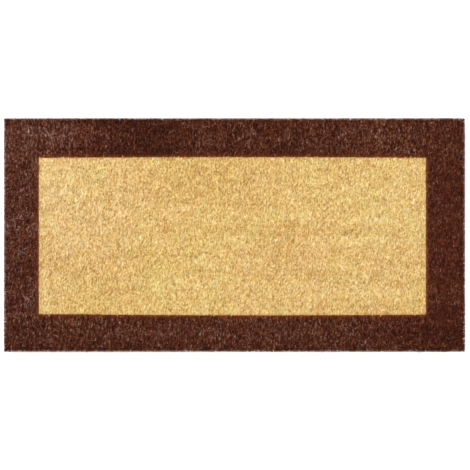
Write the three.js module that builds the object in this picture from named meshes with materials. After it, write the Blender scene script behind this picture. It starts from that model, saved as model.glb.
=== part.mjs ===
// A hand-loomed coir door mat: a cut pile of natural coir with a dyed border, woven into a
// coir base, with braided ends and corded selvedges.
// Millimetres. +X runs along the warp (the mat's length), +Y across it, +Z up out of the pile.
// The origin is on the floor under the middle of the mat.

import * as THREE from 'three';

// Overall size of the cut mat.
const MAT_LENGTH = 914;
const MAT_WIDTH = 462;
const MAT_HEIGHT = 28;

// Width of the dyed border on each side, measured in from the pile's outer edge.
const BORDER_LEFT = 68;
const BORDER_RIGHT = 76;
const BORDER_FRONT = 72.5;
const BORDER_BACK = 76.5;

// Clearance kept between pieces that touch in the real mat.
const GAP = 0.3;

// The ground weave: straight warps on two levels with the weft between them.
const WARP_COUNT = 37;
const WARP_WIDTH = 5;
const YARN_HEIGHT = 3;
const WEFT_WIDTH = 3.4;
const WEFT_SHOTS = 109;

// The edges of the base, which the pile overhangs.
const PILE_OVERHANG = 4.5;
const SELVEDGE_WIDTH = 8;
const BRAID_WIDTH = 9;
const EDGE_HEIGHT = 7.6;
const SEWING_WIDTH = 2.2;
const SEWING_HEIGHT = 1.4;

// The pile: one row of tufts for each rod, with a shallow furrow between rows.
const ROW_PITCH = 8;
const FURROW_DEPTH = 1.2;

const LOWER_WARP_Z = 0;
const WEFT_Z = YARN_HEIGHT + GAP;
const UPPER_WARP_Z = WEFT_Z + YARN_HEIGHT + GAP;
const PILE_Z = UPPER_WARP_Z + YARN_HEIGHT + GAP;

const BASE_HALF_LENGTH = MAT_LENGTH / 2 - PILE_OVERHANG;
const BASE_HALF_WIDTH = MAT_WIDTH / 2 - PILE_OVERHANG;
const WEAVE_HALF_LENGTH = BASE_HALF_LENGTH - BRAID_WIDTH - GAP;
const WEAVE_HALF_WIDTH = BASE_HALF_WIDTH - SELVEDGE_WIDTH - GAP;

const coir = (color) => new THREE.MeshStandardMaterial({ color, roughness: 0.95, metalness: 0 });
const NATURAL_PILE = 0xdcb873;
const BORDER_PILE = 0x52301f;
const BASE_YARN = 0xa9824e;
const EDGE_YARN = 0x4b2c1d;
const SEWING_YARN = 0x8a6a42;

const mat = new THREE.Group();

// Adds one finished piece to the mat.
function addPiece(parent, name, geometry, color) {
  const mesh = new THREE.Mesh(geometry, coir(color));
  mesh.name = name;
  parent.add(mesh);
  return mesh;
}

// A yarn's cross-section: a rectangle with its corners cut, resting on y = 0 and centred on x.
function yarnSection(width, height) {
  const corner = Math.min(width, height) * 0.3;
  const halfWidth = width / 2;
  return new THREE.Shape([
    new THREE.Vector2(corner - halfWidth, 0),
    new THREE.Vector2(halfWidth - corner, 0),
    new THREE.Vector2(halfWidth, corner),
    new THREE.Vector2(halfWidth, height - corner),
    new THREE.Vector2(halfWidth - corner, height),
    new THREE.Vector2(corner - halfWidth, height),
    new THREE.Vector2(-halfWidth, height - corner),
    new THREE.Vector2(-halfWidth, corner),
  ]);
}

// A group whose local XY plane stands upright, so that sections extrude along the mat's X axis.
function lengthwise() {
  const group = new THREE.Group();
  group.rotation.set(Math.PI / 2, Math.PI / 2, 0);
  mat.add(group);
  return group;
}

// A group whose local XY plane stands upright, so that sections extrude along the mat's Y axis.
function crosswise() {
  const group = new THREE.Group();
  group.rotation.x = Math.PI / 2;
  mat.add(group);
  return group;
}

// A straight cord of one section along X, centred on the mat's length.
function lengthwiseCord(name, width, height, halfLength, y, z, color) {
  const geometry = new THREE.ExtrudeGeometry(yarnSection(width, height), {
    depth: 2 * halfLength,
    bevelEnabled: false,
  });
  const cord = addPiece(lengthwise(), name, geometry, color);
  cord.position.set(y, z, -halfLength);
}

// A straight cord of one section along Y, centred on the mat's width.
function crosswiseCord(name, width, height, halfLength, x, z, color) {
  const geometry = new THREE.ExtrudeGeometry(yarnSection(width, height), {
    depth: 2 * halfLength,
    bevelEnabled: false,
  });
  const cord = addPiece(crosswise(), name, geometry, color);
  cord.position.set(x, z, -halfLength);
}

// Ground warps: odd ones run under the weft and even ones over it.
function buildWarps() {
  const pitch = (2 * WEAVE_HALF_WIDTH - WARP_WIDTH) / (WARP_COUNT - 1);
  for (let i = 0; i < WARP_COUNT; i += 1) {
    const number = String(i + 1).padStart(2, '0');
    const y = (i - (WARP_COUNT - 1) / 2) * pitch;
    const z = i % 2 === 0 ? LOWER_WARP_Z : UPPER_WARP_Z;
    lengthwiseCord(`ground_warp_${number}`, WARP_WIDTH, YARN_HEIGHT, WEAVE_HALF_LENGTH, y, z, BASE_YARN);
  }
}

// The outline of the weft: one yarn that crosses the mat, turns at the selvedge and comes back.
function weftOutline() {
  const pitch = (2 * WEAVE_HALF_LENGTH - WEFT_WIDTH) / (WEFT_SHOTS - 1);
  const turnRadius = pitch / 2;
  const outer = turnRadius + WEFT_WIDTH / 2;
  const inner = turnRadius - WEFT_WIDTH / 2;
  const straightEnd = WEAVE_HALF_WIDTH - outer;
  const firstX = -WEAVE_HALF_LENGTH + WEFT_WIDTH / 2;
  const leftSide = [new THREE.Vector2(firstX - WEFT_WIDTH / 2, -straightEnd)];
  const rightSide = [new THREE.Vector2(firstX + WEFT_WIDTH / 2, -straightEnd)];
  for (let shot = 0; shot < WEFT_SHOTS - 1; shot += 1) {
    const way = shot % 2 === 0 ? 1 : -1;
    const centreX = firstX + (shot + 0.5) * pitch;
    const turnPoint = (radius, angle) => new THREE.Vector2(
      centreX - radius * Math.cos(angle),
      way * (straightEnd + radius * Math.sin(angle)),
    );
    const [wide, tight] = way > 0 ? [leftSide, rightSide] : [rightSide, leftSide];
    for (let step = 0; step <= 4; step += 1) {
      wide.push(turnPoint(outer, (step * Math.PI) / 4));
    }
    for (let step = 0; step <= 2; step += 1) {
      tight.push(turnPoint(inner, (step * Math.PI) / 2));
    }
  }
  const lastWay = WEFT_SHOTS % 2 === 0 ? -1 : 1;
  const lastX = firstX + (WEFT_SHOTS - 1) * pitch;
  leftSide.push(new THREE.Vector2(lastX - (lastWay * WEFT_WIDTH) / 2, lastWay * straightEnd));
  rightSide.push(new THREE.Vector2(lastX + (lastWay * WEFT_WIDTH) / 2, lastWay * straightEnd));
  return new THREE.Shape([...rightSide, ...leftSide.reverse()]);
}

function buildWeft() {
  const geometry = new THREE.ExtrudeGeometry(weftOutline(), {
    depth: YARN_HEIGHT,
    bevelEnabled: false,
  });
  addPiece(mat, 'weft', geometry, BASE_YARN).position.z = WEFT_Z;
}

// Corded selvedges along the two long edges, and braids that close the two cut ends.
function buildEdges() {
  const selvedgeY = BASE_HALF_WIDTH - SELVEDGE_WIDTH / 2;
  const braidX = BASE_HALF_LENGTH - BRAID_WIDTH / 2;
  const sewingZ = EDGE_HEIGHT + GAP;
  for (const [side, sign] of [['front', -1], ['back', 1]]) {
    const y = sign * selvedgeY;
    lengthwiseCord(`selvedge_cord_${side}`, SELVEDGE_WIDTH, EDGE_HEIGHT, WEAVE_HALF_LENGTH, y, 0, EDGE_YARN);
    lengthwiseCord(`sewing_yarn_${side}`, SEWING_WIDTH, SEWING_HEIGHT, WEAVE_HALF_LENGTH, y, sewingZ,
      SEWING_YARN);
  }
  for (const [side, sign] of [['left', -1], ['right', 1]]) {
    const x = sign * braidX;
    crosswiseCord(`end_braid_${side}`, BRAID_WIDTH, EDGE_HEIGHT, BASE_HALF_WIDTH, x, 0, EDGE_YARN);
    crosswiseCord(`sewing_yarn_${side}`, SEWING_WIDTH, SEWING_HEIGHT, BASE_HALF_WIDTH, x, sewingZ,
      SEWING_YARN);
  }
}

// One zone of pile between two corners, with a furrow between each row of tufts and the next.
function pileZone(name, lowX, highX, lowY, highY, color) {
  const rows = Math.round((highX - lowX) / ROW_PITCH);
  const pitch = (highX - lowX) / rows;
  const pileHeight = MAT_HEIGHT - PILE_Z;
  const profile = [new THREE.Vector2(lowX, 0), new THREE.Vector2(highX, 0)];
  for (let row = rows; row > 0; row -= 1) {
    const furrowX = lowX + row * pitch;
    const topX = furrowX - pitch / 2;
    profile.push(new THREE.Vector2(furrowX, pileHeight - FURROW_DEPTH));
    profile.push(new THREE.Vector2(topX + pitch / 5, pileHeight));
    profile.push(new THREE.Vector2(topX - pitch / 5, pileHeight));
  }
  profile.push(new THREE.Vector2(lowX, pileHeight - FURROW_DEPTH));
  const geometry = new THREE.ExtrudeGeometry(new THREE.Shape(profile), {
    depth: highY - lowY,
    bevelEnabled: false,
  });
  const zone = addPiece(crosswise(), name, geometry, color);
  zone.position.set(0, PILE_Z, -highY);
}

function buildPile() {
  const halfLength = MAT_LENGTH / 2;
  const halfWidth = MAT_WIDTH / 2;
  const fieldLeft = BORDER_LEFT - halfLength;
  const fieldRight = halfLength - BORDER_RIGHT;
  const fieldFront = BORDER_FRONT - halfWidth;
  const fieldBack = halfWidth - BORDER_BACK;
  pileZone('pile_end_left', -halfLength, fieldLeft - GAP, -halfWidth, halfWidth, BORDER_PILE);
  pileZone('pile_end_right', fieldRight + GAP, halfLength, -halfWidth, halfWidth, BORDER_PILE);
  pileZone('pile_side_front', fieldLeft, fieldRight, -halfWidth, fieldFront - GAP, BORDER_PILE);
  pileZone('pile_side_back', fieldLeft, fieldRight, fieldBack + GAP, halfWidth, BORDER_PILE);
  pileZone('pile_field', fieldLeft, fieldRight, fieldFront, fieldBack, NATURAL_PILE);
}

buildWarps();
buildWeft();
buildEdges();
buildPile();

export default mat;
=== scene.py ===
"""The looks of a hand-loomed coir door mat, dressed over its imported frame.

The mat is a coir ground weave of warps and one weft, closed by twisted selvedge cords and plaited ends that
are whipped down with twine, and a cut pile of natural coir inside a dyed border. Everything is in metres:
+X runs along the warp, +Y across it and +Z up out of the pile. Sizes and places come from the frame's nodes.
"""

import logging
import math
from dataclasses import dataclass, field
from enum import Enum

import bpy
import numpy as np
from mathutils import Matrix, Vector
from mathutils.kdtree import KDTree


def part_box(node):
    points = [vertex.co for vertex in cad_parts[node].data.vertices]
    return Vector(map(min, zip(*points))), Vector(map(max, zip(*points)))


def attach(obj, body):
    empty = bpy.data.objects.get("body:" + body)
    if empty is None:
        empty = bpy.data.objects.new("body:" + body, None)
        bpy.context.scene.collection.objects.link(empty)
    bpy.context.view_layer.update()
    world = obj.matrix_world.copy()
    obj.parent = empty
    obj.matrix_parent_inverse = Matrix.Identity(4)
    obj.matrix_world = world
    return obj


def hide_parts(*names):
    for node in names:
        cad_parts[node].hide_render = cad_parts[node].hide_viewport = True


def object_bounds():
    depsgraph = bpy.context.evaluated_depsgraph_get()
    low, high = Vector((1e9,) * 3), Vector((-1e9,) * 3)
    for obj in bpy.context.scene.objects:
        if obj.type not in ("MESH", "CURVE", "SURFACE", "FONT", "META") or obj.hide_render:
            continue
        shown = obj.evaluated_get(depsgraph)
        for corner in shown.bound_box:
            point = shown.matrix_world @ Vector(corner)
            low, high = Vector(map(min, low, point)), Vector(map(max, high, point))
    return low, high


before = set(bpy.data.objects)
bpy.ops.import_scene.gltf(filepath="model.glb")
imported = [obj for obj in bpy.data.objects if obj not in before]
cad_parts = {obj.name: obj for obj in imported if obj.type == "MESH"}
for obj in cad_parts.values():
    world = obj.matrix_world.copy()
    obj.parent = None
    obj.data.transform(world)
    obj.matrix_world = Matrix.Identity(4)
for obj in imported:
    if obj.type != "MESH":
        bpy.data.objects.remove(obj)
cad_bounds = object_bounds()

log = logging.getLogger("coir_mat")

MM = 0.001
UPRIGHT = 0.7
BODY = "root"
Colour = tuple[float, float, float]


# ----------------------------------------------------------------------------
# Small helpers
# ----------------------------------------------------------------------------


def deselect_all() -> None:
    """Leave edit mode and clear the selection."""
    if bpy.context.object and bpy.context.object.mode != "OBJECT":
        bpy.ops.object.mode_set(mode="OBJECT")
    bpy.ops.object.select_all(action="DESELECT")


def select_only(piece: bpy.types.Object) -> None:
    """Select one object and make it the active one.

    Args:
        piece: The object that the next operator acts on.
    """
    deselect_all()
    piece.select_set(True)
    bpy.context.view_layer.objects.active = piece


def smoothstep(low: float, high: float, at: np.ndarray) -> np.ndarray:
    """Rise smoothly from 0 at low to 1 at high.

    Args:
        low: Where the step begins.
        high: Where the step ends.
        at: The values to place on the step.

    Returns:
        The height of the step at each value.
    """
    share = np.clip((at - low) / (high - low), 0.0, 1.0)
    return share * share * (3.0 - 2.0 * share)


def finish_piece(piece: bpy.types.Object, material: bpy.types.Material, node: str) -> None:
    """Dress a piece, tie it to the mat and hide the frame node that it stands for.

    Args:
        piece: The modelled piece.
        material: Its finish.
        node: The frame's node that it replaces.
    """
    piece.data.materials.clear()
    piece.data.materials.append(material)
    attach(piece, BODY)
    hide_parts(node)
    piece.data.calc_loop_triangles()
    log.info("%s: %d triangles", piece.name, len(piece.data.loop_triangles))


# ----------------------------------------------------------------------------
# Shader groups that several finishes share
# ----------------------------------------------------------------------------


class NodeBench:
    """A node tree and the short calls that wire it."""

    def __init__(self, tree: bpy.types.NodeTree) -> None:
        """Take the tree to be wired."""
        self.tree = tree

    def plug(self, value: object, socket: bpy.types.NodeSocket) -> None:
        """Fill a socket.

        Args:
            value: A number, a colour or another socket.
            socket: The socket to fill.
        """
        if isinstance(value, bpy.types.NodeSocket):
            self.tree.links.new(value, socket)
        else:
            socket.default_value = value

    def math(self, operation: str, first: object, second: object) -> bpy.types.NodeSocket:
        """Add a math node.

        Args:
            operation: Blender's name for the operation.
            first: A socket or a number.
            second: A socket or a number.

        Returns:
            The node's value socket.
        """
        node = self.tree.nodes.new("ShaderNodeMath")
        node.operation = operation
        self.plug(first, node.inputs[0])
        self.plug(second, node.inputs[1])
        return node.outputs[0]

    def about_zero(self, value: bpy.types.NodeSocket, strength: object) -> bpy.types.NodeSocket:
        """Centre a value from 0 to 1 on 0 and scale it.

        Args:
            value: The value.
            strength: A socket or a number.

        Returns:
            The scaled value's socket.
        """
        return self.math("MULTIPLY", self.math("SUBTRACT", value, 0.5), strength)

    def noise(self, vector: bpy.types.NodeSocket, scale: object, detail: float, roughness: float = 0.5
              ) -> bpy.types.NodeSocket:
        """Add a noise texture.

        Args:
            vector: The coordinates.
            scale: A socket or a number.
            detail: The number of octaves.
            roughness: How strong each octave is beside the one before.

        Returns:
            The noise's value socket.
        """
        node = self.tree.nodes.new("ShaderNodeTexNoise")
        node.inputs["Detail"].default_value = detail
        node.inputs["Roughness"].default_value = roughness
        self.plug(scale, node.inputs["Scale"])
        self.plug(vector, node.inputs["Vector"])
        return node.outputs["Fac"]


class ShaderGroup(NodeBench):
    """A shader node group with named inputs and outputs."""

    def __init__(self, name: str, inputs: dict[str, float | None], outputs: list[str]) -> None:
        """Make the group and its sockets.

        Args:
            name: The group's name.
            inputs: Each input and its default, with None for a vector.
            outputs: The names of the value outputs.
        """
        super().__init__(bpy.data.node_groups.new(name, "ShaderNodeTree"))
        for label, default in inputs.items():
            kind = "NodeSocketVector" if default is None else "NodeSocketFloat"
            socket = self.tree.interface.new_socket(label, in_out="INPUT", socket_type=kind)
            if default is not None:
                socket.default_value = default
        for label in outputs:
            self.tree.interface.new_socket(label, in_out="OUTPUT", socket_type="NodeSocketFloat")
        self.inlet = self.tree.nodes.new("NodeGroupInput").outputs
        self.outlet = self.tree.nodes.new("NodeGroupOutput").inputs

    def stretch(self, scale: tuple[float, float, float]) -> bpy.types.NodeSocket:
        """Stretch the group's coordinates.

        Args:
            scale: The scale along each axis.

        Returns:
            The stretched coordinates.
        """
        mapping = self.tree.nodes.new("ShaderNodeMapping")
        mapping.inputs["Scale"].default_value = scale
        self.plug(self.inlet["Vector"], mapping.inputs["Vector"])
        return mapping.outputs["Vector"]


def make_creel_bands() -> bpy.types.NodeTree:
    """Tone that drifts from one pile yarn to the next and along each of them.

    Returns:
        A group whose output lies about 0.
    """
    group = ShaderGroup("creel_bands", {"Vector": None, "Yarns": 1.0, "Rows": 1.0}, ["Tone"])
    yarns = group.noise(group.stretch((1.5, 34.0, 1.0)), 1.0, 3.0)
    rows = group.noise(group.stretch((90.0, 24.0, 1.0)), 1.0, 2.0)
    yarn_tone = group.about_zero(yarns, group.inlet["Yarns"])
    row_tone = group.about_zero(rows, group.inlet["Rows"])
    group.plug(group.math("ADD", yarn_tone, row_tone), group.outlet["Tone"])
    return group.tree


def make_blotches() -> bpy.types.NodeTree:
    """Patches where the dye took more or less.

    Returns:
        A group whose output lies about 0.
    """
    group = ShaderGroup("dye_blotches", {"Vector": None, "Scale": 14.0, "Strength": 1.0}, ["Tone"])
    broad = group.noise(group.inlet["Vector"], group.inlet["Scale"], 2.0)
    group.plug(group.about_zero(broad, group.inlet["Strength"]), group.outlet["Tone"])
    return group.tree


def make_fibre_grain() -> bpy.types.NodeTree:
    """The fine, lengthwise grain of a coir fibre.

    Returns:
        A group whose output goes from 0 to 1.
    """
    group = ShaderGroup("fibre_grain", {"Vector": None, "Scale": 2400.0}, ["Mask"])
    grain = group.noise(group.stretch((1.0, 1.0, 0.16)), group.inlet["Scale"], 3.0)
    group.plug(grain, group.outlet["Mask"])
    return group.tree


def make_cut_ends() -> bpy.types.NodeTree:
    """The cut ends of packed yarns, each of its own tone, with painted shade in the gaps between their
    fibres.

    Returns:
        A group with a tone about 0, which holds the painted shade of the gaps, and a height for a bump node.
    """
    inputs = {"Vector": None, "Scale": 500.0, "Strength": 0.3, "Gaps": 0.3}
    group = ShaderGroup("cut_ends", inputs, ["Tone", "Height"])
    cells = []
    for finer, stretch in ((1.0, (1.0, 0.5, 0.12)), (2.2, (1.0, 0.8, 0.12))):
        cell = group.tree.nodes.new("ShaderNodeTexVoronoi")
        group.plug(group.stretch(stretch), cell.inputs["Vector"])
        group.plug(group.math("MULTIPLY", group.inlet["Scale"], finer), cell.inputs["Scale"])
        cells.append(cell)
    yarn_end, fibre_end = cells
    split = group.tree.nodes.new("ShaderNodeSeparateColor")
    group.plug(yarn_end.outputs["Color"], split.inputs["Color"])
    own_tone = group.about_zero(split.outputs["Red"], group.inlet["Strength"])
    # Painted shade in the gaps between the fibre ends, darker the farther a place is from a fibre's middle.
    gap = group.about_zero(fibre_end.outputs["Distance"], group.inlet["Gaps"])
    group.plug(group.math("SUBTRACT", own_tone, gap), group.outlet["Tone"])
    group.plug(group.math("SUBTRACT", 1.0, fibre_end.outputs["Distance"]), group.outlet["Height"])
    return group.tree


def make_dye_drift() -> bpy.types.NodeTree:
    """A slow wander of the coir's hue, at several sizes at once.

    Returns:
        A group whose output lies about 0.5.
    """
    group = ShaderGroup("dye_drift", {"Vector": None, "Scale": 9.0}, ["Mask"])
    group.plug(group.noise(group.inlet["Vector"], group.inlet["Scale"], 4.0, 0.8), group.outlet["Mask"])
    return group.tree


def make_soft_patch() -> bpy.types.NodeTree:
    """A round-edged patch on the mat, such as one that sun or feet have worn.

    Returns:
        A group that gives Strength at the patch's centre and fades to 0 at its reach.
    """
    inputs = {"Vector": None, "Centre X": 0.0, "Centre Y": 0.0, "Reach X": 0.1, "Reach Y": 0.1,
              "Strength": 1.0}
    group = ShaderGroup("soft_patch", inputs, ["Gain"])
    split = group.tree.nodes.new("ShaderNodeSeparateXYZ")
    group.plug(group.inlet["Vector"], split.inputs["Vector"])
    squares = []
    for axis in ("X", "Y"):
        offset = group.math("SUBTRACT", split.outputs[axis], group.inlet[f"Centre {axis}"])
        share = group.math("DIVIDE", offset, group.inlet[f"Reach {axis}"])
        squares.append(group.math("MULTIPLY", share, share))
    distance = group.math("ADD", squares[0], squares[1])
    fall = group.math("MAXIMUM", group.math("SUBTRACT", 1.0, distance), 0.0)
    smooth = group.math("MULTIPLY", fall, fall)
    group.plug(group.math("MULTIPLY", smooth, group.inlet["Strength"]), group.outlet["Gain"])
    return group.tree


def make_root_shade() -> bpy.types.NodeTree:
    """Painted shade: darkening towards the root of a fibre, deep in the pile where shade falls.

    Returns:
        A group that turns reach, 0 at the root and 1 at the tip, into the brightness of the painted shade.
    """
    group = ShaderGroup("root_shade", {"Reach": 1.0, "Root": 0.5, "Power": 1.0}, ["Brightness"])
    rise = group.math("POWER", group.inlet["Reach"], group.inlet["Power"])
    lift = group.math("MULTIPLY", rise, group.math("SUBTRACT", 1.0, group.inlet["Root"]))
    group.plug(group.math("ADD", lift, group.inlet["Root"]), group.outlet["Brightness"])
    return group.tree


class SharedShaders:
    """The groups that the finishes place, each built once."""

    def __init__(self) -> None:
        """Build every group."""
        self.creel_bands = make_creel_bands()
        self.blotches = make_blotches()
        self.grain = make_fibre_grain()
        self.cut_ends = make_cut_ends()
        self.dye_drift = make_dye_drift()
        self.root_shade = make_root_shade()
        self.soft_patch = make_soft_patch()


class MaterialBench(NodeBench):
    """A new node material round a Principled shader."""

    def __init__(self, name: str) -> None:
        """Start the material.

        Args:
            name: The material's name.
        """
        self.material = bpy.data.materials.new(name)
        self.material.use_nodes = True
        super().__init__(self.material.node_tree)
        self.shader = self.tree.nodes["Principled BSDF"].inputs
        self.place = self.tree.nodes.new("ShaderNodeTexCoord").outputs["Object"]

    def attribute(self, name: str) -> bpy.types.NodeSocket:
        """Read one of the piece's own point values.

        Args:
            name: The attribute's name.

        Returns:
            Its value socket.
        """
        node = self.tree.nodes.new("ShaderNodeAttribute")
        node.attribute_name = name
        return node.outputs["Fac"]

    def group(self, tree: bpy.types.NodeTree, **values: object) -> bpy.types.NodeOutputs:
        """Place a shared group on the piece's own coordinates, if it takes any.

        Args:
            tree: The group.
            values: What each of its other inputs gets, by its name.

        Returns:
            The group's outputs.
        """
        node = self.tree.nodes.new("ShaderNodeGroup")
        node.node_tree = tree
        if "Vector" in node.inputs:
            self.plug(self.place, node.inputs["Vector"])
        for label, value in values.items():
            self.plug(value, node.inputs[label])
        return node.outputs

    def ramp(self, fac: bpy.types.NodeSocket, stops: tuple[tuple[float, Colour], ...]
             ) -> bpy.types.NodeSocket:
        """Turn a value into a colour.

        Args:
            fac: The value.
            stops: Positions from 0 to 1 and their colours.

        Returns:
            The ramp's colour socket.
        """
        node = self.tree.nodes.new("ShaderNodeValToRGB")
        elements = node.color_ramp.elements
        while len(elements) < len(stops):
            elements.new(0.5)
        for element, (position, colour) in zip(elements, stops):
            element.position = position
            element.color = (*colour, 1.0)
        self.plug(fac, node.inputs["Fac"])
        return node.outputs["Color"]

    def mix(self, blend: str, fac: object, first: object, second: object) -> bpy.types.NodeSocket:
        """Mix two colours.

        Args:
            blend: Blender's name for the blend type.
            fac: How much of the second is mixed in.
            first: The first colour or socket.
            second: The second colour or socket.

        Returns:
            The mixed colour.
        """
        node = self.tree.nodes.new("ShaderNodeMix")
        node.data_type = "RGBA"
        node.blend_type = blend
        colours = [socket for socket in node.inputs if socket.type == "RGBA"]
        self.plug(fac, node.inputs["Factor"])
        self.plug(first, colours[0])
        self.plug(second, colours[1])
        return next(socket for socket in node.outputs if socket.type == "RGBA")

    def bump(self, height: bpy.types.NodeSocket, strength: float, distance: float) -> None:
        """Raise the surface's grain.

        Args:
            height: The height to follow.
            strength: How strong the bump is.
            distance: How high it is, in metres.
        """
        node = self.tree.nodes.new("ShaderNodeBump")
        node.inputs["Strength"].default_value = strength
        node.inputs["Distance"].default_value = distance
        self.plug(height, node.inputs["Height"])
        self.plug(node.outputs["Normal"], self.shader["Normal"])


# ----------------------------------------------------------------------------
# Finishes
# ----------------------------------------------------------------------------


@dataclass(frozen=True)
class Patch:
    """A patch of the mat: its centre, its reach, and how much paler, chalkier and ruddier it is."""

    x: float
    y: float
    reach_x: float
    reach_y: float
    lift: float = 0.0
    chalk: float = 0.0
    ruddy: float = 0.0


@dataclass(frozen=True)
class PileFinish:
    """Cut coir fibres whose tone varies from fibre to fibre, yarn to yarn and row to row."""

    name: str
    fibre_tones: tuple[tuple[float, Colour], ...]
    # Brightness painted at a fibre's root, as painted shade deep in the pile.
    painted_root_brightness: float
    yarn_bands: float
    row_bands: float
    blotch_scale: float
    blotch_strength: float
    chalk_tint: Colour
    ruddy_strength: float
    ruddy_colour: Colour
    bleed_colour: Colour
    end_contrast: float
    # How dark the painted shade in the gaps between fibre ends is.
    painted_gap_shade: float
    yellow_tint: Colour
    rosy_tint: Colour
    patches: tuple[Patch, ...]
    end_scale: float = 560.0
    drift_scale: float = 9.0
    wisp_scale: float = 210.0
    grain_scale: float = 2400.0
    grain_contrast: float = 0.24
    root_power: float = 1.3
    roughness: float = 0.9
    grain_gloss: float = 0.2
    specular: float = 0.12
    bump_strength: float = 0.5
    bump_height: float = 0.3 * MM

    def make(self, shared: SharedShaders) -> bpy.types.Material:
        """Build the finish's material.

        Args:
            shared: The shared groups.

        Returns:
            The material.
        """
        bench = MaterialBench(self.name)
        bands = bench.group(shared.creel_bands, Yarns=self.yarn_bands, Rows=self.row_bands)
        blotches = bench.group(shared.blotches, Scale=self.blotch_scale, Strength=self.blotch_strength)
        # The cut ends' own tones, with painted shade in the gaps between their fibres.
        ends = bench.group(shared.cut_ends, Scale=self.end_scale, Strength=self.end_contrast,
                           Gaps=self.painted_gap_shade)
        tone = bench.math("ADD", bench.attribute("tone"), ends["Tone"])
        tone = self.add_patches(bench, shared, bench.math("ADD", tone, bands["Tone"]), "lift")
        drift = bench.group(shared.dye_drift, Scale=self.drift_scale)
        tint = bench.ramp(drift["Mask"], ((0.0, self.yellow_tint), (1.0, self.rosy_tint)))
        colour = bench.mix("MULTIPLY", 1.0, bench.ramp(tone, self.fibre_tones), tint)
        chalk = self.add_patches(bench, shared, blotches["Tone"], "chalk")
        colour = bench.mix("MULTIPLY", bench.math("MAXIMUM", chalk, 0.0), colour, (*self.chalk_tint, 1.0))
        wisps = bench.group(shared.blotches, Scale=self.wisp_scale, Strength=self.ruddy_strength)
        ruddy = self.add_patches(bench, shared, bench.math("MAXIMUM", wisps["Tone"], 0.0), "ruddy")
        colour = bench.mix("MIX", ruddy, colour, (*self.ruddy_colour, 1.0))
        colour = bench.mix("MIX", bench.attribute("bleed"), colour, (*self.bleed_colour, 1.0))
        # Painted shade: fibres darker towards their roots, and the bed darker the deeper it lies.
        shade = bench.group(shared.root_shade, Reach=bench.attribute("reach"), Root=self.painted_root_brightness,
                            Power=self.root_power)
        grain = bench.group(shared.grain, Scale=self.grain_scale)["Mask"]
        grained = bench.math("ADD", bench.math("MULTIPLY", grain, self.grain_contrast),
                             1.0 - self.grain_contrast / 2)
        brightness = bench.math("MULTIPLY", shade["Brightness"], grained)
        grey = bench.tree.nodes.new("ShaderNodeCombineColor")
        for channel in ("Red", "Green", "Blue"):
            bench.plug(brightness, grey.inputs[channel])
        bench.plug(bench.mix("MULTIPLY", 1.0, colour, grey.outputs["Color"]), bench.shader["Base Color"])
        rough = bench.math("ADD", bench.math("MULTIPLY", grain, -self.grain_gloss), self.roughness)
        bench.plug(rough, bench.shader["Roughness"])
        bench.shader["Specular IOR Level"].default_value = self.specular
        bench.bump(bench.math("ADD", grain, ends["Height"]), self.bump_strength, self.bump_height)
        return bench.material

    def add_patches(self, bench: MaterialBench, shared: SharedShaders, value: bpy.types.NodeSocket,
                    effect: str) -> bpy.types.NodeSocket:
        """Add one effect of every patch that has it to a value.

        Args:
            bench: The material's bench.
            shared: The shared groups.
            value: The value that the patches change.
            effect: The patches' field that says how much.

        Returns:
            The changed value's socket.
        """
        for patch in self.patches:
            if getattr(patch, effect):
                inputs = {"Centre X": patch.x, "Centre Y": patch.y, "Reach X": patch.reach_x,
                          "Reach Y": patch.reach_y, "Strength": getattr(patch, effect)}
                value = bench.math("ADD", value, bench.group(shared.soft_patch, **inputs)["Gain"])
        return value


@dataclass(frozen=True)
class YarnFinish:
    """Spun coir yarn with pale and dark fibres in its grain; the dark grain lies in the bump's hollows,
    partly fibre tone and partly painted shade.
    """

    name: str
    dark: Colour
    middle: Colour
    pale: Colour
    blotch_scale: float = 40.0
    blotch_strength: float = 0.7
    grain_scale: float = 1500.0
    roughness: float = 0.98
    grain_gloss: float = 0.2
    specular: float = 0.25
    bump_strength: float = 0.7
    bump_height: float = 0.4 * MM

    def make(self, shared: SharedShaders) -> bpy.types.Material:
        """Build the finish's material.

        Args:
            shared: The shared groups.

        Returns:
            The material.
        """
        bench = MaterialBench(self.name)
        blotches = bench.group(shared.blotches, Scale=self.blotch_scale, Strength=self.blotch_strength)
        grain = bench.group(shared.grain, Scale=self.grain_scale)["Mask"]
        # The grain sets both colour and bump: its dark fibres lie in the bump's hollows, partly fibre tone
        # and partly painted shade.
        tone = bench.math("ADD", grain, blotches["Tone"])
        colour = bench.ramp(tone, ((0.3, self.dark), (0.5, self.middle), (0.72, self.pale)))
        bench.plug(colour, bench.shader["Base Color"])
        rough = bench.math("ADD", bench.math("MULTIPLY", grain, -self.grain_gloss), self.roughness)
        bench.plug(rough, bench.shader["Roughness"])
        bench.shader["Specular IOR Level"].default_value = self.specular
        bench.bump(grain, self.bump_strength, self.bump_height)
        return bench.material


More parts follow.
